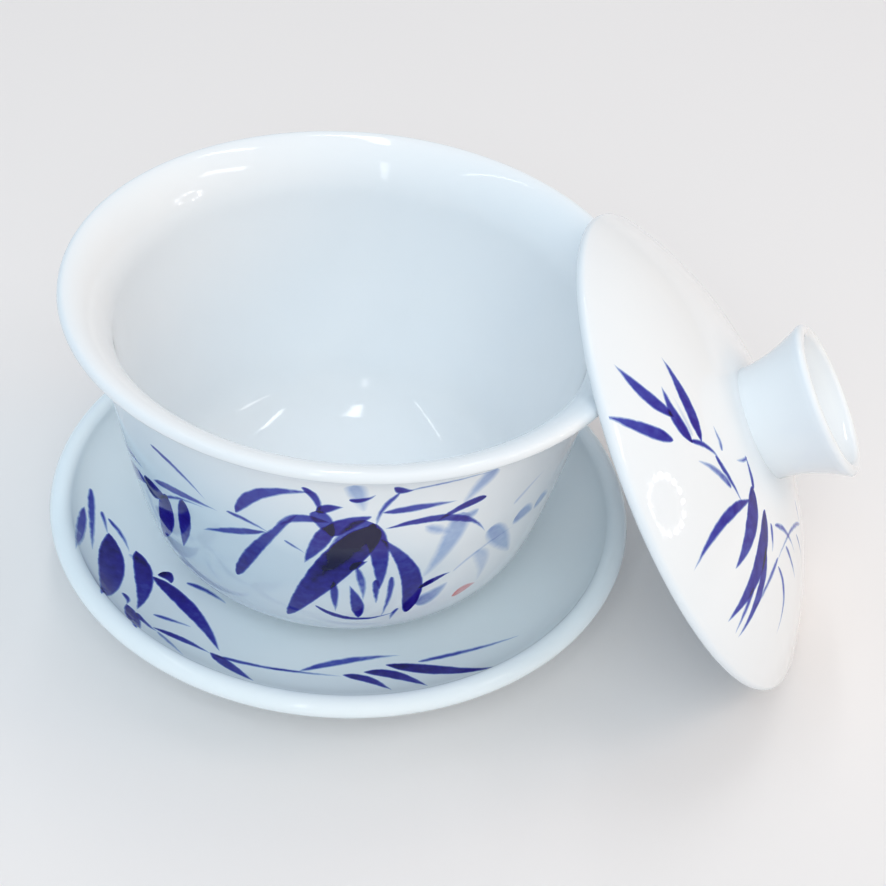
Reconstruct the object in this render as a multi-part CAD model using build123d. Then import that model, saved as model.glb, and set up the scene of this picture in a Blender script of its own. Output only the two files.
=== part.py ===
"""A gaiwan: a porcelain saucer, a deep bowl with a flared lip, and a domed lid that leans on the bowl.

Sizes are in millimetres.  The saucer stands on z = 0, the bowl's axis is Z, and the lid leans towards +X.
"""
from build123d import *
from math import asin, degrees, sin, sqrt, tan
import os

# Bowl
rim_radius = 49.0  # outside of the flared lip
bowl_height = 57.6  # from the unglazed foot to the lip
bowl_wall = 2.3
lip_thickness = 2.4
bowl_foot_radius = 22.0
bowl_foot_height = 3.0
foot_ring_width = 2.6  # how wide each unglazed foot ring is

# Saucer
saucer_radius = 53.3
saucer_height = 15.8
saucer_wall = 2.4
saucer_lip_thickness = 3.4
saucer_foot_radius = 28.0
saucer_foot_height = 3.0
well_depth = 0.7  # the round recess that holds the bowl's foot
well_clearance = 1.2  # between the foot and the step of the well, all round

# Lid
lid_radius = 44.05
lid_height = 13.2  # of the dome, above the middle of the lid's edge
lid_wall = 2.2
lid_lip_thickness = 2.4
knob_foot_radius = 10.2
knob_mouth_radius = 13.7
knob_height = 12.8
knob_wall = 2.2

# How the loose pieces rest
rest_gap = 0.15  # under the bowl's foot and under the lid's edge
lid_overhang = 9.5  # how far the leaning lid reaches above the bowl's lip
lean_gap = 0.2  # how much more than the lid's thickness is left between its face and the bowl's lip


def turned(*edges):
    """A solid turned about Z from the edges of a closed half section, drawn as (radius, height)."""
    return revolve(Plane.XZ * make_face(list(edges)), Axis.Z)


def ring(outer, inner, low, high):
    """A plain flat-ended ring about Z."""
    corners = [(inner, low), (outer, low), (outer, high), (inner, high)]
    return turned(Polyline(corners, close=True))


# Saucer: a thick rolled lip, a shallow curved wall, and a flat middle with a round well.
seat = saucer_foot_height + saucer_wall  # top of the flat middle
well_floor = seat - well_depth
well_radius = bowl_foot_radius + well_clearance
roll = saucer_lip_thickness / 2
roll_level = saucer_height - roll

saucer_top = Bezier(
    (well_radius + 4 * well_depth, seat),
    (0.70 * saucer_radius, seat),
    (0.88 * saucer_radius, seat + 0.33 * (saucer_height - seat)),
    (saucer_radius - 2.35 * roll, roll_level),
)
saucer_lip = ThreePointArc(
    saucer_top @ 1, (saucer_radius - 1.1 * roll, saucer_height), (saucer_radius, roll_level)
)
saucer_lip_under = ThreePointArc(
    saucer_lip @ 1, (saucer_radius - 0.35 * roll, roll_level - 0.8 * roll),
    (saucer_radius - 1.2 * roll, roll_level - 1.1 * roll),
)
saucer_under = Bezier(
    saucer_lip_under @ 1,
    (0.865 * saucer_radius, saucer_foot_height + 0.35 * (saucer_height - saucer_foot_height)),
    (0.73 * saucer_radius, saucer_foot_height),
    (saucer_foot_radius, saucer_foot_height),
)
saucer_middle = Polyline(
    saucer_under @ 1, (0, saucer_foot_height), (0, well_floor), (well_radius, well_floor),
    (well_radius + well_depth, seat), saucer_top @ 0,
)
saucer = turned(saucer_top, saucer_lip, saucer_lip_under, saucer_under, saucer_middle)
saucer_foot_ring = ring(saucer_foot_radius, saucer_foot_radius - foot_ring_width, 0, saucer_foot_height)

# Bowl: a low round belly, a tall wall that leans out a little, and a lip that flares.
bowl_base = well_floor + rest_gap
belly_base = bowl_base + bowl_foot_height
lip_top = bowl_base + bowl_height
lip_round = lip_thickness / 2


def on_bowl(radius_share, height_share, inwards=0.0):
    """A point of the bowl's section, as shares of the rim's radius and of the height above the foot."""
    return (radius_share * rim_radius - inwards, belly_base + height_share * (lip_top - belly_base))


bowl_belly = Bezier(
    (bowl_foot_radius, belly_base), on_bowl(0.600, 0.000), on_bowl(0.699, 0.082), on_bowl(0.739, 0.195)
)
bowl_side = Bezier(bowl_belly @ 1, on_bowl(0.785, 0.325), on_bowl(0.853, 0.655), on_bowl(0.872, 0.830))
bowl_flare = Bezier(
    bowl_side @ 1, on_bowl(0.877, 0.880), on_bowl(0.912, 0.932),
    (rim_radius - 0.4 * lip_round, lip_top - 1.6 * lip_round),
)
bowl_lip = ThreePointArc(
    bowl_flare @ 1, (rim_radius, lip_top - 0.8 * lip_round), (rim_radius - lip_round, lip_top)
)
bowl_mouth = Bezier(
    bowl_lip @ 1, (rim_radius - 3.2 * lip_round, lip_top), on_bowl(0.881, 0.925, inwards=bowl_wall),
    on_bowl(0.872, 0.830, inwards=bowl_wall),
)
bowl_inside = Bezier(
    bowl_mouth @ 1, on_bowl(0.853, 0.655, inwards=bowl_wall), on_bowl(0.785, 0.325, inwards=bowl_wall),
    on_bowl(0.739, 0.195, inwards=bowl_wall),
)
bowl_bottom = Bezier(
    bowl_inside @ 1, on_bowl(0.710, 0.110, inwards=bowl_wall), (0.58 * rim_radius, belly_base + bowl_wall),
    (0.37 * rim_radius, belly_base + bowl_wall),
)
bowl_middle = Polyline(
    bowl_bottom @ 1, (0, belly_base + bowl_wall), (0, belly_base), (bowl_foot_radius, belly_base)
)
bowl = turned(bowl_belly, bowl_side, bowl_flare, bowl_lip, bowl_mouth, bowl_inside, bowl_bottom, bowl_middle)
bowl_foot_ring = ring(bowl_foot_radius, bowl_foot_radius - foot_ring_width, bowl_base, belly_base)

# Lid, upright: a shallow dome with a rolled edge, whose middle is on z = 0, and a flat seat for the knob.
lid_round = lid_lip_thickness / 2
hollow_radius = lid_radius - 1.45 * lid_lip_thickness
hollow_height = lid_height - lid_wall
knob_seat = 0.968 * lid_height

lid_outside = Bezier(
    (knob_foot_radius, knob_seat), (0.52 * lid_radius, 0.925 * lid_height),
    (0.79 * lid_radius, 0.535 * lid_height), (lid_radius - 0.35 * lid_round, 0.7 * lid_round),
)
lid_edge = ThreePointArc(
    lid_outside @ 1, (lid_radius, -0.1 * lid_round), (lid_radius - lid_round, -lid_round)
)
lid_edge_inside = ThreePointArc(
    lid_edge @ 1, (hollow_radius + 0.45 * lid_round, -0.8 * lid_round), (hollow_radius, 0)
)
lid_hollow = Bezier(
    lid_edge_inside @ 1, (0.78 * hollow_radius, 0.66 * hollow_height), (0.42 * hollow_radius, hollow_height),
    (0, hollow_height),
)
lid_middle = Polyline(lid_hollow @ 1, (0, knob_seat), (knob_foot_radius, knob_seat))
lid_upright = turned(lid_outside, lid_edge, lid_edge_inside, lid_hollow, lid_middle)

# Knob: an open ring that flares, luted onto the lid's flat seat.
knob_top = knob_seat + knob_height
knob_round = knob_wall / 2
knob_outside = Bezier(
    (knob_foot_radius, knob_seat), (knob_foot_radius, knob_seat + 0.4 * knob_height),
    (knob_mouth_radius, knob_top - knob_round),
)
knob_lip = ThreePointArc(
    knob_outside @ 1, (knob_mouth_radius - knob_round, knob_top),
    (knob_mouth_radius - knob_wall, knob_top - knob_round),
)
knob_inside = Bezier(
    knob_lip @ 1, (knob_foot_radius - knob_wall, knob_seat + 0.4 * knob_height),
    (knob_foot_radius - knob_wall, knob_seat),
)
knob_upright = turned(
    knob_outside, knob_lip, knob_inside, Line(knob_inside @ 1, (knob_foot_radius, knob_seat))
)

# The lid stands on its edge and leans on the lip, with its top edge above the bowl.
lean = asin((lip_top + lid_overhang) / (2 * lid_radius))  # from the table up to the lid's face
lid_z = (lid_radius - lid_round) * sin(lean) + lid_round + rest_gap
above = lip_top - lid_z  # how far the lip is above the lid's middle
stand_off = lid_lip_thickness + lean_gap
along_lid = above / sin(lean) + stand_off / tan(lean)  # from the lid's middle up to where it touches
touch_x = sqrt(rim_radius ** 2 - lid_radius ** 2 + along_lid ** 2)
lid_x = touch_x + above / tan(lean) + stand_off / sin(lean)

leaning = Location((lid_x, 0, lid_z)) * Location((0, 0, 0), (0, degrees(lean), 0))
lid = leaning * lid_upright
lid_knob = leaning * knob_upright

os.makedirs("parts", exist_ok=True)
nodes = {
    "saucer": saucer,
    "saucer_foot_ring": saucer_foot_ring,
    "bowl": bowl,
    "bowl_foot_ring": bowl_foot_ring,
    "lid": lid,
    "lid_knob": lid_knob,
}
for name, shape in nodes.items():
    export_step(shape, f"parts/{name}.step")

print("lean", round(degrees(lean), 2), "lid at", round(lid_x, 2), round(lid_z, 2), "lip at", round(lip_top, 2))
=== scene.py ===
import math

import bpy
from mathutils import Matrix, Vector


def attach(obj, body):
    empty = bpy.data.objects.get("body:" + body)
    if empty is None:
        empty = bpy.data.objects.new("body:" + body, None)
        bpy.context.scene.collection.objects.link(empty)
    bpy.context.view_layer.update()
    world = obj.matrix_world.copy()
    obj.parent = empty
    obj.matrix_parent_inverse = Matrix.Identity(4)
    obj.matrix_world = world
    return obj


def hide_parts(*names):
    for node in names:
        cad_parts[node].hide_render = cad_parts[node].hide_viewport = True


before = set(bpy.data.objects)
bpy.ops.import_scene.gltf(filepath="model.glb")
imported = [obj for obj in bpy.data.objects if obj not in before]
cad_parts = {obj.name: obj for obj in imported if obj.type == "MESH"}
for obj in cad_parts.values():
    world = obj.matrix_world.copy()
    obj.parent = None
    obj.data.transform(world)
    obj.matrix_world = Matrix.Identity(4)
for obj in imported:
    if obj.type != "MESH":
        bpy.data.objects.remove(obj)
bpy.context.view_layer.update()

# ---------------------------------------------------------------------------------------------
# The table, the light and the camera
# A matt white board in a light tent.  The light is a little blue from the left, white in the
# middle and warm from the right.
# ---------------------------------------------------------------------------------------------
MM = 0.001  # every size below is written in millimetres

scene = bpy.context.scene
scene.view_settings.view_transform = "Standard"

board_side = 3000
board_colour = (0.835, 0.815, 0.81, 1)

bpy.ops.object.select_all(action="DESELECT")
bpy.ops.mesh.primitive_plane_add(size=board_side * MM, location=(0, 0, 0))
board = bpy.context.object
board.name = "table_board"
board_paint = bpy.data.materials.new("matt_board")
board_paint.use_nodes = True
board_shader = board_paint.node_tree.nodes["Principled BSDF"]
board_shader.inputs["Base Color"].default_value = board_colour
board_shader.inputs["Roughness"].default_value = 0.9
board_shader.inputs["Specular IOR Level"].default_value = 0.1
board.data.materials.append(board_paint)

cool_side = (0.58, 0.775, 0.945, 1)
middle_of_tent = (0.855, 0.92, 0.99, 1)
warm_side = (0.77, 0.65, 0.56, 1)
tent_strength = 0.66

tent = bpy.data.worlds.new("light_tent")
scene.world = tent
tent.use_nodes = True
sky = tent.node_tree
sky_coord = sky.nodes.new("ShaderNodeTexCoord")
sky_split = sky.nodes.new("ShaderNodeSeparateXYZ")
sky_span = sky.nodes.new("ShaderNodeMapRange")
sky_ramp = sky.nodes.new("ShaderNodeValToRGB")
sky_span.inputs["From Min"].default_value = -1
sky_span.inputs["From Max"].default_value = 1
stops = sky_ramp.color_ramp.elements
stops[0].position, stops[0].color = 0.12, cool_side
stops[1].position, stops[1].color = 0.85, warm_side
stops.new(0.48).color = middle_of_tent
sky.links.new(sky_coord.outputs["Generated"], sky_split.inputs[0])
sky.links.new(sky_split.outputs["X"], sky_span.inputs["Value"])
sky.links.new(sky_span.outputs["Result"], sky_ramp.inputs["Fac"])
sky.links.new(sky_ramp.outputs["Color"], sky.nodes["Background"].inputs["Color"])
sky.nodes["Background"].inputs["Strength"].default_value = tent_strength


def lamp(name, place, size, power, colour=(1, 1, 1), aim=(0, 0, 30), long_way=(0, 1, 0)):
    """A rectangular lamp of (width, height), in millimetres, facing a point, its height along long_way."""
    light = bpy.data.lights.new(name, "AREA")
    light.shape = "RECTANGLE"
    light.size, light.size_y = size[0] * MM, size[1] * MM
    light.energy, light.color = power, colour
    holder = bpy.data.objects.new(name, light)
    back = (Vector(place) - Vector(aim)).normalized()
    width_way = Vector(long_way).cross(back).normalized()
    turned = Matrix((width_way, back.cross(width_way), back)).transposed()
    holder.matrix_world = Matrix.Translation(Vector(place) * MM) @ turned.to_4x4()
    scene.collection.objects.link(holder)
    return holder


# A wide diffuser in front and a warm one at the right lift the shade and aren't seen in the glaze.
diffuser = lamp(
    "front_diffuser", (70, -1250, 1350), (1200, 1200), 12.2, (0.92, 0.985, 1.0), long_way=(0, 0, 1)
)
side_glow = lamp("side_glow", (1200, 300, 700), (600, 600), 2.6, (1.0, 0.64, 0.41), long_way=(0, 0, 1))
diffuser.visible_glossy = side_glow.visible_glossy = False

# What the glaze mirrors: three ceiling strips, one in front, a softbox, and a ring of small lamps.
lamp("strip_middle", (-50, 300, 1035), (46, 600), 1.0)
lamp("strip_right", (249, 320, 1000), (35, 410), 0.42, long_way=(-0.29, 0.96, 0))
lamp("strip_left", (-485, -56, 1000), (16, 875), 0.36, long_way=(0.19, 0.98, 0))
lamp("strip_front", (-60, -900, 660), (60, 600), 0.5, long_way=(0, 0.54, 0.84))
lamp("softbox_right", (650, -120, 700), (80, 300), 0.5, (1.0, 0.97, 0.95))
ring_middle, ring_radius, ring_lamps = Vector((792, 20, 330)), 92, 16
for i in range(ring_lamps):
    round_ring = math.tau * i / ring_lamps
    spot = ring_middle + ring_radius * Vector((0, math.cos(round_ring), math.sin(round_ring)))
    lamp(f"ring_lamp_{i}", spot, (13, 13), 0.02)

# The lens looks down at the set from in front, and the picture is turned a few degrees.
look_down, look_turn, look_roll = math.radians(40.73), math.radians(-1.68), math.radians(6.64)
eye = Vector((23.98, -221.17, 219.85)) * MM
ahead = Vector((
    math.sin(look_turn) * math.cos(look_down),
    math.cos(look_turn) * math.cos(look_down),
    -math.sin(look_down),
))
level = Vector((math.cos(look_turn), -math.sin(look_turn), 0))
upward = level.cross(ahead)
right = math.cos(look_roll) * level + math.sin(look_roll) * upward
above = -math.sin(look_roll) * level + math.cos(look_roll) * upward
lens = bpy.data.cameras.new("camera")
lens.sensor_width, lens.lens = 36, 65.84
camera = bpy.data.objects.new("camera", lens)
camera.matrix_world = Matrix.Translation(eye) @ Matrix((right, above, -ahead)).transposed().to_4x4()
scene.collection.objects.link(camera)
scene.camera = camera

# ---------------------------------------------------------------------------------------------
# Saucer
# Thrown porcelain: a thick rolled lip, a low curved wall, and a round well for the bowl's foot.
# It is glazed all over, with bamboo painted under the glaze on the left and along the front.
# ---------------------------------------------------------------------------------------------


def curve(*handles, steps=14):
    """Points along the Bezier curve of the given handles, without its first point."""
    points = []
    for i in range(1, steps + 1):
        t = i / steps
        row = list(handles)
        while len(row) > 1:
            row = [((1 - t) * a[0] + t * b[0], (1 - t) * a[1] + t * b[1]) for a, b in zip(row, row[1:])]
        points.append(row[0])
    return points


def arc(start, middle, end, steps=8):
    """Points along the circular arc through three points, without its first point."""
    (ax, ay), (bx, by), (cx, cy) = start, middle, end
    d = 2 * (ax * (by - cy) + bx * (cy - ay) + cx * (ay - by))
    a2, b2, c2 = ax * ax + ay * ay, bx * bx + by * by, cx * cx + cy * cy
    ox = (a2 * (by - cy) + b2 * (cy - ay) + c2 * (ay - by)) / d
    oy = (a2 * (cx - bx) + b2 * (ax - cx) + c2 * (bx - ax)) / d
    radius = math.hypot(ax - ox, ay - oy)
    first = math.atan2(ay - oy, ax - ox)
    turn = lambda x, y: (math.atan2(y - oy, x - ox) - first) % math.tau
    sweep = turn(cx, cy)
    if turn(bx, by) > sweep:
        sweep -= math.tau
    angles = [first + sweep * i / steps for i in range(1, steps + 1)]
    return [(ox + radius * math.cos(angle), oy + radius * math.sin(angle)) for angle in angles]


def turn_on_wheel(name, section, turns=240):
    """A closed shape turned about Z from a half section of (radius, height), in millimetres."""
    bpy.ops.object.select_all(action="DESELECT")
    bpy.ops.mesh.primitive_plane_add(size=MM, location=(0, 0, 0))
    piece = bpy.context.object
    piece.name = piece.data.name = name
    bpy.ops.object.mode_set(mode="EDIT")
    bpy.ops.mesh.select_all(action="SELECT")
    bpy.ops.mesh.merge(type="CENTER")
    bpy.ops.transform.translate(value=(section[0][0] * MM, 0, section[0][1] * MM))
    for (r0, z0), (r1, z1) in zip(section, section[1:]):
        step = ((r1 - r0) * MM, 0, (z1 - z0) * MM)
        bpy.ops.mesh.extrude_region_move(TRANSFORM_OT_translate={"value": step})
    bpy.ops.mesh.select_all(action="SELECT")
    bpy.ops.mesh.spin(steps=turns, angle=math.tau, center=(0, 0, 0), axis=(0, 0, 1))
    bpy.ops.mesh.select_all(action="SELECT")
    bpy.ops.mesh.remove_doubles(threshold=0.01 * MM)
    bpy.ops.mesh.normals_make_consistent(inside=False)
    bpy.ops.object.mode_set(mode="OBJECT")
    bpy.ops.object.shade_smooth_by_angle(angle=math.radians(50))
    return piece


def give(tree, socket, value):
    """Links a value that is a socket to an input, or sets the input to it."""
    if isinstance(value, bpy.types.NodeSocket):
        tree.links.new(value, socket)
    else:
        socket.default_value = value


def join(tree, kind, operation, *values, clamp=False):
    """Adds one maths node whose inputs are links or numbers."""
    node = tree.nodes.new(kind)
    node.operation = operation
    if clamp:
        node.use_clamp = True
    for socket, value in zip(node.inputs, values):
        give(tree, socket, value)
    return node.outputs["Value"] if operation == "DOT_PRODUCT" else node.outputs[0]


def maths(tree, operation, *values, clamp=False):
    return join(tree, "ShaderNodeMath", operation, *values, clamp=clamp)


def vectors(tree, operation, *values):
    return join(tree, "ShaderNodeVectorMath", operation, *values)


# How a stroke changes from its root to its tip, as (slope, value at the root).
stroke_taper, ink_left = (-0.9, 1.45), (-0.5, 1.2)


def brush_stroke_group():
    """One stroke of a loaded brush: it swells from its root, bends, and thins to a point."""
    group = bpy.data.node_groups.new("brush_stroke", "ShaderNodeTree")
    for name, kind in (
        ("Surface", "NodeSocketVector"), ("Ink", "NodeSocketFloat"), ("Root", "NodeSocketVector"),
        ("Along", "NodeSocketVector"), ("Across", "NodeSocketVector"), ("Bend", "NodeSocketFloat"),
        ("Width", "NodeSocketFloat"), ("Fullness", "NodeSocketFloat"), ("Crispness", "NodeSocketFloat"),
        ("Load", "NodeSocketFloat"),
    ):
        group.interface.new_socket(name, in_out="INPUT", socket_type=kind)
    group.interface.new_socket("Ink", in_out="OUTPUT", socket_type="NodeSocketFloat")
    given = group.nodes.new("NodeGroupInput").outputs
    out = group.nodes.new("NodeGroupOutput")
    away = vectors(group, "SUBTRACT", given["Surface"], given["Root"])
    t = vectors(group, "DOT_PRODUCT", away, given["Along"])
    side = vectors(group, "DOT_PRODUCT", away, given["Across"])
    hump = maths(group, "MULTIPLY", t, maths(group, "SUBTRACT", 1.0, t))
    off = maths(group, "ABSOLUTE", maths(group, "MULTIPLY_ADD", hump, given["Bend"], side))
    swell = maths(group, "POWER", hump, given["Fullness"])
    taper = maths(group, "MULTIPLY_ADD", t, *stroke_taper)
    half = maths(group, "MULTIPLY", maths(group, "MULTIPLY", swell, taper), given["Width"])
    mask = maths(group, "MULTIPLY", maths(group, "SUBTRACT", half, off), given["Crispness"], clamp=True)
    spent = maths(group, "MULTIPLY", mask, maths(group, "MULTIPLY_ADD", t, *ink_left))
    total = maths(group, "MULTIPLY_ADD", spent, given["Load"], given["Ink"])
    group.links.new(total, out.inputs["Ink"])
    return group


brush_stroke = brush_stroke_group()

# Porcelain's colour under thick and under thin glaze, and cobalt's at each amount of ink.
clear_shades = (0.81, 0.86, 0.90, 1), (0.855, 0.89, 0.915, 1)
# the saucer's glaze: bluer where it pools, and lighter than the bowl's as painted light, standing in for
# light bounced off the bowl and lid and carried through the porcelain
pooled_and_lit_shades = (0.80, 0.89, 0.935, 1), (0.86, 0.925, 0.955, 1)
# the colour of the painted shade laid over the glaze on the left and front of the bowl's belly
painted_shade_blue = (0.52, 0.655, 0.755, 1)
red_enamel = (0.66, 0.10, 0.10, 1)
cobalt_shades = (
    (0.12, (0.49, 0.60, 0.82, 1)), (0.34, (0.075, 0.095, 0.47, 1)),
    (0.60, (0.030, 0.018, 0.30, 1)), (0.80, (0.018, 0.007, 0.19, 1)),
)
darkest_cobalt = (0.006, 0.003, 0.045, 1)
ink_strength = 0.66

twig_width = 1.25  # strokes no wider than this are twigs, with blunter ends
edge_bleed = 0.2  # how far ink creeps into the glaze on each side
shake = 0.2  # how far the hand wavers
full_load, wash_width = 0.35, 10  # less ink or more width than these makes a soft edge
crisp_edge, wash_edge, faint_edge = 2.2, 0.8, 0.05


def glazed(name, strokes=(), surface=None, shades=clear_shades, painted_shade=None, blot=None):
    """Clear glossy glaze on white porcelain, over strokes painted in cobalt.

    A stroke is root x, y, tip x, y, bend and width in millimetres of the painted surface, how much
    ink it carries, and how blunt its ends are if it isn't a plain leaf or twig.  painted_shade is a wide
    stroke of painted shade that makes the glaze darker and bluer under it, and blot is one of red enamel.
    """
    material = bpy.data.materials.new(name)
    material.use_nodes = True
    tree = material.node_tree
    shader = tree.nodes["Principled BSDF"]
    shader.inputs["Roughness"].default_value = 0.06
    shader.inputs["IOR"].default_value = 1.5
    shader.inputs["Specular IOR Level"].default_value = 0.34

    coord = tree.nodes.new("ShaderNodeTexCoord").outputs["Object"]
    ripple = tree.nodes.new("ShaderNodeTexNoise")
    ripple.inputs["Scale"].default_value = 55
    ripple.inputs["Detail"].default_value = 2
    tree.links.new(coord, ripple.inputs["Vector"])
    bump = tree.nodes.new("ShaderNodeBump")
    bump.inputs["Strength"].default_value = 0.13
    bump.inputs["Distance"].default_value = 0.2 * MM
    tree.links.new(ripple.outputs["Fac"], bump.inputs["Height"])
    tree.links.new(bump.outputs["Normal"], shader.inputs["Normal"])

    body = tree.nodes.new("ShaderNodeValToRGB")
    body.color_ramp.elements[0].color = shades[0]
    body.color_ramp.elements[1].color = shades[1]
    tree.links.new(ripple.outputs["Fac"], body.inputs["Fac"])
    colour = body.outputs["Color"]
    if not strokes:
        tree.links.new(colour, shader.inputs["Base Color"])
        return material

    where = surface(tree, coord)
    grain = tree.nodes.new("ShaderNodeTexNoise")
    grain.inputs["Scale"].default_value = 0.55
    grain.inputs["Detail"].default_value = 3
    tree.links.new(where, grain.inputs["Vector"])
    wavered = vectors(tree, "MULTIPLY_ADD", grain.outputs["Color"], (2 * shake, 2 * shake, 0), where)
    where = vectors(tree, "SUBTRACT", wavered, (shake, shake, 0))

    def brush(stroke, ink):
        x0, y0, x1, y1, bend, width, load, *blunt = stroke
        fullness = blunt[0] if blunt else 0.7 if width > twig_width else 0.35
        slope, at_root = stroke_taper
        widest = max(
            (t * (1 - t)) ** fullness * (at_root + slope * t) for t in (0.25, 0.3, 0.35, 0.4, 0.45)
        )
        crispness = faint_edge if width > wash_width else crisp_edge if load > full_load else wash_edge
        along, across = x1 - x0, y1 - y0
        length = math.hypot(along, across)
        node = tree.nodes.new("ShaderNodeGroup")
        node.node_tree = brush_stroke
        for socket, value in (
            ("Root", (x0, y0, 0)), ("Along", (along / length ** 2, across / length ** 2, 0)),
            ("Across", (-across / length, along / length, 0)), ("Bend", -4 * bend),
            ("Width", (width / 2 + edge_bleed) / widest), ("Fullness", fullness),
            ("Crispness", crispness), ("Load", load),
        ):
            node.inputs[socket].default_value = value
        tree.links.new(where, node.inputs["Surface"])
        if ink:
            tree.links.new(ink, node.inputs["Ink"])
        return node.outputs["Ink"]

    def lay_over(under, top, amount, blend="MIX"):
        mix = tree.nodes.new("ShaderNodeMix")
        mix.data_type, mix.blend_type = "RGBA", blend
        for socket, value in (("Factor", amount), ("A", under), ("B", top)):
            give(tree, mix.inputs[socket], value)
        return mix.outputs["Result"]

    # painted shade: a wide stroke lays a darker blue over the glaze
    if painted_shade:
        colour = lay_over(colour, painted_shade_blue, brush(painted_shade, None))
    ink = None
    for stroke in strokes:
        ink = brush(stroke, ink)
    streak = maths(tree, "MULTIPLY_ADD", grain.outputs["Fac"], 0.8, 0.6)
    ink = maths(tree, "MULTIPLY", maths(tree, "MULTIPLY", ink, streak), ink_strength)
    cobalt = tree.nodes.new("ShaderNodeValToRGB")
    stops = cobalt.color_ramp.elements
    stops[0].position, stops[0].color = 0.0, (1, 1, 1, 1)
    stops[1].position, stops[1].color = 1.0, darkest_cobalt
    for place, shade in cobalt_shades:
        stops.new(place).color = shade
    tree.links.new(ink, cobalt.inputs["Fac"])
    colour = lay_over(colour, cobalt.outputs["Color"], 1.0, blend="MULTIPLY")
    if blot:
        colour = lay_over(colour, red_enamel, maths(tree, "MULTIPLY", brush(blot, None), streak))
    tree.links.new(colour, shader.inputs["Base Color"])
    return material


clear_glaze = glazed("clear_glaze")


def paint_faces(piece, materials, pick):
    """Gives each face the material that pick chooses from its middle and normal."""
    for material in materials:
        piece.data.materials.append(material)
    for face in piece.data.polygons:
        face.material_index = pick(face.center / MM, face.normal)


def from_above(tree, coord):
    """Millimetres on the table plane."""
    return vectors(tree, "MULTIPLY", coord, (1000, 1000, 0))


saucer_section = (
    [(0, 4.7), (8, 4.7), (16, 4.7), (22.6, 4.7), (23.2, 4.8), (23.7, 5.2), (24.4, 5.38), (26, 5.4)]
    + curve((26, 5.4), (37.3, 5.4), (46.9, 8.83), (49.3, 14.1), steps=18)
    + arc((49.3, 14.1), (51.43, 15.8), (53.3, 14.1), steps=12)
    + arc((53.3, 14.1), (52.7, 12.74), (51.26, 12.23), steps=5)
    + curve((51.26, 12.23), (46.1, 7.48), (38.9, 3.0), (28, 3.0), steps=16)
    + [(24, 3), (12, 3), (0, 3)]
)
saucer = turn_on_wheel("saucer_glazed", saucer_section)

saucer_strokes = [
    # thin leaves that hang at the far left
    (-46.2, -10.5, -43.4, -25.5, 0, 1.4, 0.6),
    (-46.5, -5, -42, -20.5, 0, 1.1, 0.6),
    (-43.5, -9, -41, -14, 0, 0.6, 0.6),
    # the broad leaves beside them
    (-41, -13.5, -36.3, -35.5, 1.0, 4.4, 1.05, 0.85),
    (-42, -10, -36.5, -16.5, 0.6, 0.7, 0.6),
    (-35.5, -15.5, -31.2, -32, 1.4, 3.2, 1.0),
    (-36.5, -17, -30.5, -21, 0.5, 1.5, 0.35),
    (-30, -19.5, -27.5, -21.5, 0.6, 2.0, 1.2, 0.3),
    (-31, -21, -15.5, -37, 1.5, 2.8, 0.95, 0.6),
    (-25, -20.5, -17, -24, 0.5, 0.9, 0.55),
    # the twig that runs along the front
    (-34.5, -28.5, -33, -31.5, 0.5, 0.8, 0.8),
    (-33, -31.5, -28.5, -42.5, 0.5, 2.2, 0.9),
    (-31, -33, -26.5, -36.5, -0.3, 0.9, 0.8),
    (-27.5, -35.5, -16.5, -38.5, 0.6, 1.3, 0.85),
    (-16, -38.5, 0, -38.5, -0.5, 0.8, 0.65),
    (-28.5, -31.5, -21.5, -32, 0.2, 0.8, 0.55),
    (-26.5, -36.5, -20.5, -42, 0.2, 0.6, 0.4),
    (-17, -38, -8, -44.5, 0, 2.0, 0.85),
    (-1.5, -38.5, 15.5, -31, 1.0, 1.5, 0.55),
    (-6.5, -39, 6, -38.5, 0, 0.6, 0.45),
    # its last leaves, at the right
    (6, -38, 15, -42, 1.2, 1.8, 0.95),
    (9.5, -36.5, 21, -40.5, 1.6, 2.2, 1.0),
    (13, -34, 33.5, -36, 0.2, 2.6, 1.1),
    (18.5, -32.5, 35.5, -25, 0, 0.9, 0.55),
]
# the saucer's glaze is made lighter as painted bounce light, over a bluer glaze that pools
saucer_glaze = glazed("pooled_glaze_painted_bounce", shades=pooled_and_lit_shades)
saucer_paint = glazed("saucer_painted", saucer_strokes, from_above, shades=pooled_and_lit_shades)


def pick_saucer(middle, out):
    """The front and left of the top is painted, up to the rolled lip."""
    inside_lip = middle.xy.length < 50.3
    return int(out.z > 0 and inside_lip and middle.y < -2 and middle.x < 38)


paint_faces(saucer, (saucer_glaze, saucer_paint), pick_saucer)
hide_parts("saucer")
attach(saucer, "saucer")

# ---------------------------------------------------------------------------------------------
# Foot rings
# Each is turned on the wheel and wiped clean, so it is bare fired clay, warm and matt.
# ---------------------------------------------------------------------------------------------
biscuit = bpy.data.materials.new("bare_biscuit")
biscuit.use_nodes = True
biscuit_shader = biscuit.node_tree.nodes["Principled BSDF"]
biscuit_shader.inputs["Roughness"].default_value = 0.75
speck = biscuit.node_tree.nodes.new("ShaderNodeTexNoise")
speck.inputs["Scale"].default_value = 1800
speck.inputs["Detail"].default_value = 4
speck_coord = biscuit.node_tree.nodes.new("ShaderNodeTexCoord")
speck_ramp = biscuit.node_tree.nodes.new("ShaderNodeValToRGB")
speck_ramp.color_ramp.elements[0].color = (0.60, 0.54, 0.47, 1)
speck_ramp.color_ramp.elements[1].color = (0.80, 0.77, 0.72, 1)
speck_bump = biscuit.node_tree.nodes.new("ShaderNodeBump")
speck_bump.inputs["Distance"].default_value = 0.05 * MM
biscuit.node_tree.links.new(speck_coord.outputs["Object"], speck.inputs["Vector"])
biscuit.node_tree.links.new(speck.outputs["Fac"], speck_ramp.inputs["Fac"])
biscuit.node_tree.links.new(speck.outputs["Fac"], speck_bump.inputs["Height"])
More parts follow.
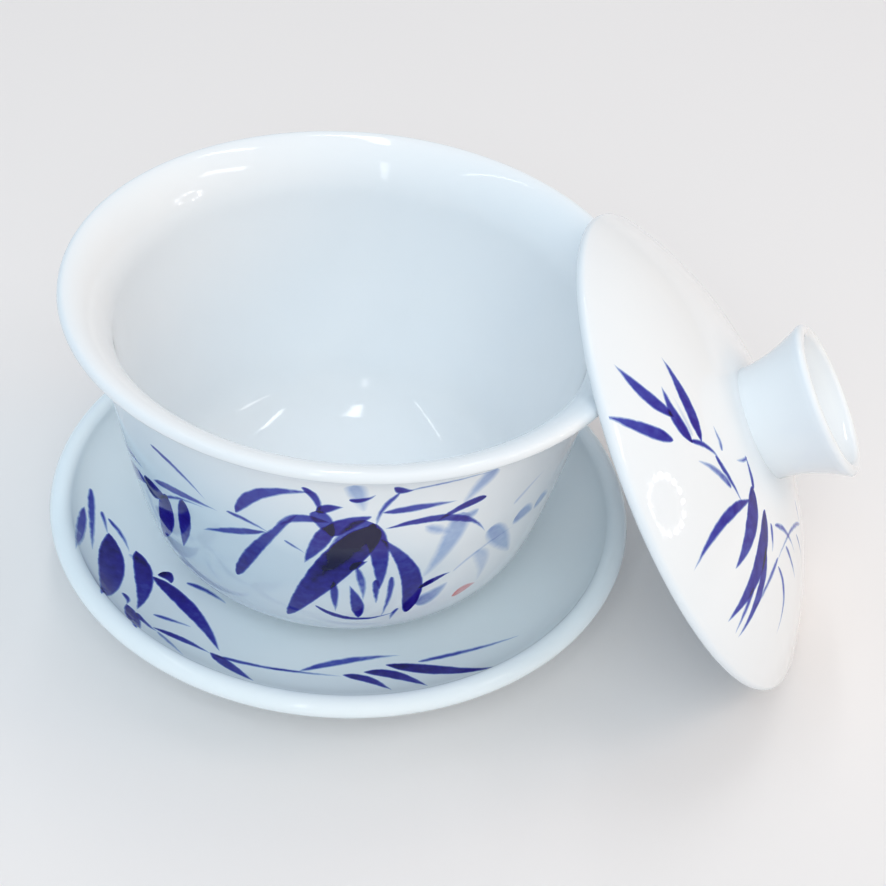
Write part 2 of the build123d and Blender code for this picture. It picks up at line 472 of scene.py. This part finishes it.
biscuit.node_tree.links.new(speck_ramp.outputs["Color"], biscuit_shader.inputs["Base Color"])
biscuit.node_tree.links.new(speck_bump.outputs["Normal"], biscuit_shader.inputs["Normal"])


def foot_ring(name, outer, low, high, width=2.6, worn=0.5):
    """A closed ring whose standing edge is worn round."""
    inner = outer - width
    ring = turn_on_wheel(name, (
        [(inner, high), (outer, high), (outer, low + worn)]
        + arc((outer, low + worn), (outer - 0.29 * worn, low + 0.29 * worn), (outer - worn, low), steps=4)
        + [(inner + worn, low)]
        + arc((inner + worn, low), (inner + 0.29 * worn, low + 0.29 * worn), (inner, low + worn), steps=4)
        + [(inner, high)]
    ))
    ring.data.materials.append(biscuit)
    return ring


saucer_foot = foot_ring("saucer_foot", 28, 0, 3)
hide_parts("saucer_foot_ring")
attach(saucer_foot, "saucer")

bowl_foot = foot_ring("bowl_foot", 22, 4.85, 7.85)
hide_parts("bowl_foot_ring")
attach(bowl_foot, "bowl")

# ---------------------------------------------------------------------------------------------
# Bowl
# Thrown thin, with a low round belly, a tall wall and a lip that flares.  It is glazed inside and
# out, and bamboo hangs round it from a branch that starts at the left.
# ---------------------------------------------------------------------------------------------
bowl_rim, belly_base, lip_top, wall = 49.0, 7.85, 62.45, 2.3


def on_bowl(radius_share, height_share, inwards=0.0):
    return (radius_share * bowl_rim - inwards, belly_base + height_share * (lip_top - belly_base))


belly_start, belly_end, side_end = (22, belly_base), on_bowl(0.739, 0.195), on_bowl(0.872, 0.830)
lip_start, lip_middle, lip_end = (48.52, 60.53), (bowl_rim, 61.49), (47.8, lip_top)
hollow_side_end, hollow_belly_end = on_bowl(0.872, 0.830, wall), on_bowl(0.739, 0.195, wall)
bowl_floor = belly_base + wall

bowl_outside = (
    [belly_start]
    + curve(belly_start, on_bowl(0.600, 0), on_bowl(0.699, 0.082), belly_end, steps=16)
    + curve(belly_end, on_bowl(0.785, 0.325), on_bowl(0.853, 0.655), side_end, steps=18)
    + curve(side_end, on_bowl(0.877, 0.880), on_bowl(0.912, 0.932), lip_start, steps=12)
    + arc(lip_start, lip_middle, lip_end, steps=8)
)
bowl_hollow = (
    curve(lip_end, (45.16, lip_top), on_bowl(0.881, 0.925, wall), hollow_side_end, steps=16)
    + curve(
        hollow_side_end, on_bowl(0.853, 0.655, wall), on_bowl(0.785, 0.325, wall), hollow_belly_end,
        steps=18,
    )
    + curve(
        hollow_belly_end, on_bowl(0.710, 0.110, wall), (28.42, bowl_floor), (18.13, bowl_floor), steps=16
    )
    + [(9, bowl_floor), (0, bowl_floor)]
)
bowl = turn_on_wheel("bowl_glazed", [(0, belly_base), (12, belly_base)] + bowl_outside + bowl_hollow)

# The painter works round the wall: x runs round it from the front, y up it from the foot.
wall_reference = 42  # the radius at which a millimetre of x is a millimetre
uv_scale = 100  # millimetres to one unit of the UV map
not_on_wall = -20  # the height given to what isn't the outside of the wall
wall_length = {}
run = 0.0
for here, before in zip(bowl_outside, [bowl_outside[0]] + bowl_outside):
    run += math.dist(here, before)
    wall_length[round(here[0], 2), round(here[1], 2)] = run


def wrap_wall(piece):
    layer = piece.data.uv_layers.new(name="wall")
    for face in piece.data.polygons:
        middle = math.atan2(face.center.x, -face.center.y)
        for i in face.loop_indices:
            x, y, z = piece.data.vertices[piece.data.loops[i].vertex_index].co
            around = math.atan2(x, -y)
            around -= math.tau * round((around - middle) / math.tau)
            key = round(math.hypot(x, y) / MM, 2), round(z / MM, 2)
            up = wall_length.get(key, not_on_wall)
            layer.data[i].uv = (around * wall_reference / uv_scale, up / uv_scale)


wrap_wall(bowl)


def round_wall(tree, coord):
    """Millimetres round the wall and up it."""
    uv = tree.nodes.new("ShaderNodeUVMap")
    uv.uv_map = "wall"
    return vectors(tree, "MULTIPLY", uv.outputs["UV"], (uv_scale, uv_scale, 0))


bowl_strokes = [
    # the knot of the branch at the left, and what hangs from it
    (-46.5, 37, -35, 39.5, 0.6, 1.4, 0.6),
    (-30, 49.5, -18.5, 44.5, 1.2, 0.9, 0.6),
    (-46.5, 31, -34, 36.5, 0.6, 3.4, 0.8),
    (-36, 35, -29.5, 37.5, 0.2, 4.4, 1.3, 0.35),
    (-28.5, 38.5, -37, 20, 1.0, 4.4, 0.95),
    (-23.8, 40.5, -27.6, 25.5, 0.5, 3.0, 0.95, 0.5),
    (-32, 39.5, -16, 43, 0.9, 1.6, 0.65),
    (-29.5, 37, -19, 42, 1.0, 0.6, 0.6),
    # the thin twig across the front
    (-14.5, 44, -7, 42, 0.5, 0.8, 0.6),
    (-7.5, 42, -20.5, 35.5, -0.4, 1.4, 0.65),
    (-4.5, 41, -1, 38.5, 0, 0.4, 0.6),
    # two arching leaves
    (-12.8, 44.6, 0.2, 54, 2.7, 2.2, 0.7, 0.55),
    (-1.5, 55, 1, 49, 1.0, 1.2, 0.8),
    (-14.4, 26.6, -2.2, 48.3, 0.8, 2.3, 0.85, 0.5),
    (2.8, 47.3, -6.5, 43, -2.2, 1.8, 0.6),
    (3.2, 47, -1.3, 35.8, 0.1, 2.8, 0.85),
    # the dark heart of the clump
    (0.5, 49.6, 4.8, 51.3, 0.4, 1.8, 0.9),
    (0.4, 49.8, 3.4, 43.5, 0.3, 3.0, 0.6, 0.4),
    (2.5, 44.5, 9.2, 49.2, 0.5, 3.1, 0.9, 0.4),
    (9, 48, 2.6, 37.5, 0, 4.8, 0.5, 0.35),
    (10, 46.5, -4.8, 18.4, -0.4, 6.6, 1.1, 0.42),
    (9, 46, -1, 28, -0.4, 4.2, 0.33, 0.4),
    (8, 45, 2, 33, -0.3, 4.0, 0.3, 0.4),
    (9.4, 47.5, 12.1, 29, 0.6, 3.2, 0.9, 0.45),
    (11.2, 32, 12, 24.5, 0, 1.1, 0.7),
    (18.6, 20, 11, 43.5, -2.6, 3.8, 0.95, 0.5),
    # the small leaves under it
    (0.8, 23.2, 16.3, 21, -2.7, 1.0, 0.9),
    (6.5, 35, 9.5, 37.5, 0.3, 1.5, 1.0),
    (3.9, 31.5, 4.6, 21.8, 0, 1.4, 0.7),
    (9.1, 19.8, 6.7, 30.5, -0.4, 2.3, 0.85),
    (7.5, 36, 9.5, 25.5, 0.4, 1.3, 0.5),
    (14, 32.5, 13.5, 20, 0.4, 1.0, 0.6),
    (16.5, 22, 15.5, 18, -0.3, 0.8, 0.5),
    # the light sprig at the right
    (5.5, 53, 9.5, 54.3, -0.5, 0.8, 0.9),
    (12, 56.2, 15.3, 55, -0.6, 1.4, 0.9),
    (14.5, 55, 29.5, 55, 0.6, 0.3, 0.5),
    (13, 54.5, 10, 46.5, -0.8, 0.8, 0.6),
    (10.8, 50, 23, 50.5, 0.4, 1.5, 0.6),
    (11.5, 46, 30.5, 39, 4.2, 1.6, 0.75),
    (28.3, 49.2, 20, 46.3, -0.8, 1.6, 0.95, 0.45),
    (19.5, 27.5, 25.5, 30.2, 0.4, 1.3, 1.2),
    # pale washes: a stalk and the leaves far behind
    (6, 57, 8, 50.5, 0, 3.4, 0.2, 0.3),
    (27.5, 46.5, 23, 45, 0.4, 2.4, 0.25),
    (29, 55.5, 24, 49, -0.4, 3.2, 0.22, 0.3),
    (24.5, 47, 20, 31, 0.8, 4.6, 0.2, 0.3),
    (18, 45.5, 23.5, 42, 0, 2.4, 0.2),
    (20, 22, 25.5, 27, -0.3, 4.4, 0.34, 0.45),
    (35.5, 43, 42, 47.5, 0.5, 1.0, 0.22),
    (37.5, 38, 43, 36.5, 0.6, 4.4, 0.24, 0.4),
    (43.5, 37.5, 48, 37, 0.2, 4.0, 0.2, 0.4),
    (31.5, 39.5, 40.5, 27, 0, 4.4, 0.22, 0.35),
    (30, 34, 33.5, 23, 1.2, 3.5, 0.12, 0.35),
    (26, 30, 38.5, 35.5, 1.8, 0.8, 0.3),
]
bowl_blot = (28, 21, 33.5, 22.2, 0.6, 2.4, 0.7)
# painted shade: a wide stroke that makes the left and front of the belly darker and bluer
bowl_painted_shade = (-56, 36, 27, 32, 0, 60, 0.95, 0.35)
bowl_back_strokes = [
    (118, 50, 96, 42, 1.6, 0.7, 0.7),
    (96, 42, 88, 33, -0.8, 0.6, 0.7),
    (104, 44.5, 112, 30, 1.2, 2.6, 0.9),
    (104, 44.5, 101, 27, -1.0, 2.9, 1.0),
    (97, 42.5, 104, 33, 0.6, 1.8, 0.8),
    (96, 42, 86, 45, 0.6, 1.9, 0.8),
    (92, 37.5, 84, 26, -1.2, 2.2, 0.9),
    (113, 48.5, 121, 41, 0.8, 1.8, 0.75),
    (110, 47, 104, 54, 0.3, 1.2, 0.6),
    (88, 33, 94, 23, 1.0, 1.5, 0.7),
]
bowl_front = glazed(
    "bowl_painted", bowl_strokes, round_wall, painted_shade=bowl_painted_shade, blot=bowl_blot
)
bowl_back = glazed("bowl_back_painted", bowl_back_strokes, round_wall)
front_reach, back_from, back_to = 55, 80, 126  # how far round the wall each painting goes


def pick_bowl(middle, out):
    """0 for plain glaze, 1 for the painted front, 2 for the painted back."""
    around = wall_reference * math.atan2(middle.x, -middle.y)
    faces_inwards = out.x * middle.x + out.y * middle.y < 0
    if faces_inwards or middle.z < belly_base + 0.15:
        return 0
    return 1 if abs(around) < front_reach else 2 if back_from < around < back_to else 0


paint_faces(bowl, (clear_glaze, bowl_front, bowl_back), pick_bowl)
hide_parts("bowl")
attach(bowl, "bowl")

# ---------------------------------------------------------------------------------------------
# Lid
# A shallow glazed dome with a rolled edge.  It stands on its edge and leans on the bowl's lip,
# so it is turned upright first and then tilted into its place.
# ---------------------------------------------------------------------------------------------
lid_lean = math.radians(54.75)
lid_place = Vector((61.67, 0, 36.34))
knob_seat = 12.78
lid_section = (
    [(0, knob_seat), (6, knob_seat), (10.2, knob_seat)]
    + curve((10.2, knob_seat), (22.9, 12.21), (34.8, 7.06), (43.63, 0.84), steps=24)
    + arc((43.63, 0.84), (44.05, -0.12), (42.85, -1.2), steps=8)
    + arc((42.85, -1.2), (41.11, -0.96), (40.57, 0), steps=5)
    + curve((40.57, 0), (31.64, 7.26), (17.04, 11.0), (0, 11.0), steps=24)
)
lid = turn_on_wheel("lid_glazed", lid_section)


def lean_on_bowl(piece):
    """Tilts an upright piece of the lid and sets it down, with its origin left at the world's."""
    bpy.ops.object.select_all(action="DESELECT")
    piece.select_set(True)
    bpy.context.view_layer.objects.active = piece
    piece.rotation_euler = (0, lid_lean, 0)
    piece.location = lid_place * MM
    bpy.ops.object.transform_apply(location=True, rotation=True, scale=True)


lean_on_bowl(lid)


def across_lid(tree, coord):
    """Millimetres across the lid as it is seen from its knob."""
    level_lid = tree.nodes.new("ShaderNodeMapping")
    level_lid.vector_type = "TEXTURE"
    level_lid.inputs["Location"].default_value = lid_place * MM
    level_lid.inputs["Rotation"].default_value = (0, lid_lean, 0)
    tree.links.new(coord, level_lid.inputs["Vector"])
    return vectors(tree, "MULTIPLY", level_lid.outputs[0], (1000, 1000, 0))


lid_strokes = [
    # four leaves at the end of the twig
    (-24, -22, -36, -19.8, 0.8, 2.1, 0.75),
    (-22.5, -25.8, -33.8, -29, 0, 2.0, 0.75, 0.55),
    (-19, -23.6, -27.8, -18.3, 0.9, 2.0, 0.85),
    (-17.5, -22, -29.3, -12.8, -0.2, 2.1, 0.85),
    (-19.5, -22.5, -25.5, -18.5, 0, 0.8, 0.25),
    # the twig
    (-19.5, -23.5, -12.5, -21.9, 0.8, 0.8, 0.75),
    (-14, -22, -4.5, -24, 0, 0.8, 0.75),
    (-8.3, -24, -16.8, -25.5, -0.6, 1.1, 0.45),
    (-12.8, -20, -16.2, -17.3, -0.2, 0.7, 0.45),
    (-6.3, -15.6, -9, -18.6, 0.3, 0.6, 0.5),
    (-2.6, -19.3, -7, -15.6, -0.3, 0.9, 0.75),
    # the clump of hanging leaves
    (-3, -22, -7.8, -39.8, -2.0, 1.9, 0.8),
    (-3.2, -19.2, 0, -33.5, 1.4, 3.6, 0.95, 0.6),
    (2, -19.6, 4.5, -39.8, 2.2, 3.4, 1.0, 0.6),
    (5, -20, 8, -23.5, 0.3, 0.8, 0.6),
    (5.5, -24.5, 9, -39.5, 1.5, 1.9, 0.85),
    (6.5, -32, 7.8, -39.5, 0, 0.9, 0.6),
    # thin leaves at the right
    (6.5, -19, 17.5, -15, 1.2, 0.9, 0.5),
    (19.5, -6, 10.5, -24, -1.8, 0.7, 0.5),
    (10.5, -22.5, 9.3, -35, 0, 0.8, 0.5),
    (12.5, -18.2, 20.5, -18, 0.3, 0.8, 0.5),
    (11.5, -23.5, 20, -30, 2.6, 1.0, 0.5),
    (15.5, -4, 20, -6.5, 0, 0.5, 0.4),
    (17, -11, 23.5, -11, 0.4, 0.6, 0.4),
]
lid_paint = glazed("lid_painted", lid_strokes, across_lid)


def pick_lid(middle, out):
    """The half of the outside that is towards the front is painted."""
    return int(out.x > 0 and out.z > 0 and middle.y < 0)


paint_faces(lid, (clear_glaze, lid_paint), pick_lid)
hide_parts("lid")
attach(lid, "lid")

# ---------------------------------------------------------------------------------------------
# Knob
# An open ring that flares, luted onto the top of the lid and glazed with it.  The lid is lifted
# by it, and stands on it when it is put down upside down.
# ---------------------------------------------------------------------------------------------
knob_top = 25.58
knob_section = (
    [(10.2, knob_seat)]
    + curve((10.2, knob_seat), (10.2, 17.9), (13.7, 24.48), steps=12)
    + arc((13.7, 24.48), (12.6, knob_top), (11.5, 24.48), steps=10)
    + curve((11.5, 24.48), (8.0, 17.9), (8.0, knob_seat), steps=12)
    + [(10.2, knob_seat)]
)
knob = turn_on_wheel("knob_glazed", knob_section)
lean_on_bowl(knob)
knob.data.materials.append(clear_glaze)
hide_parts("lid_knob")
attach(knob, "lid")
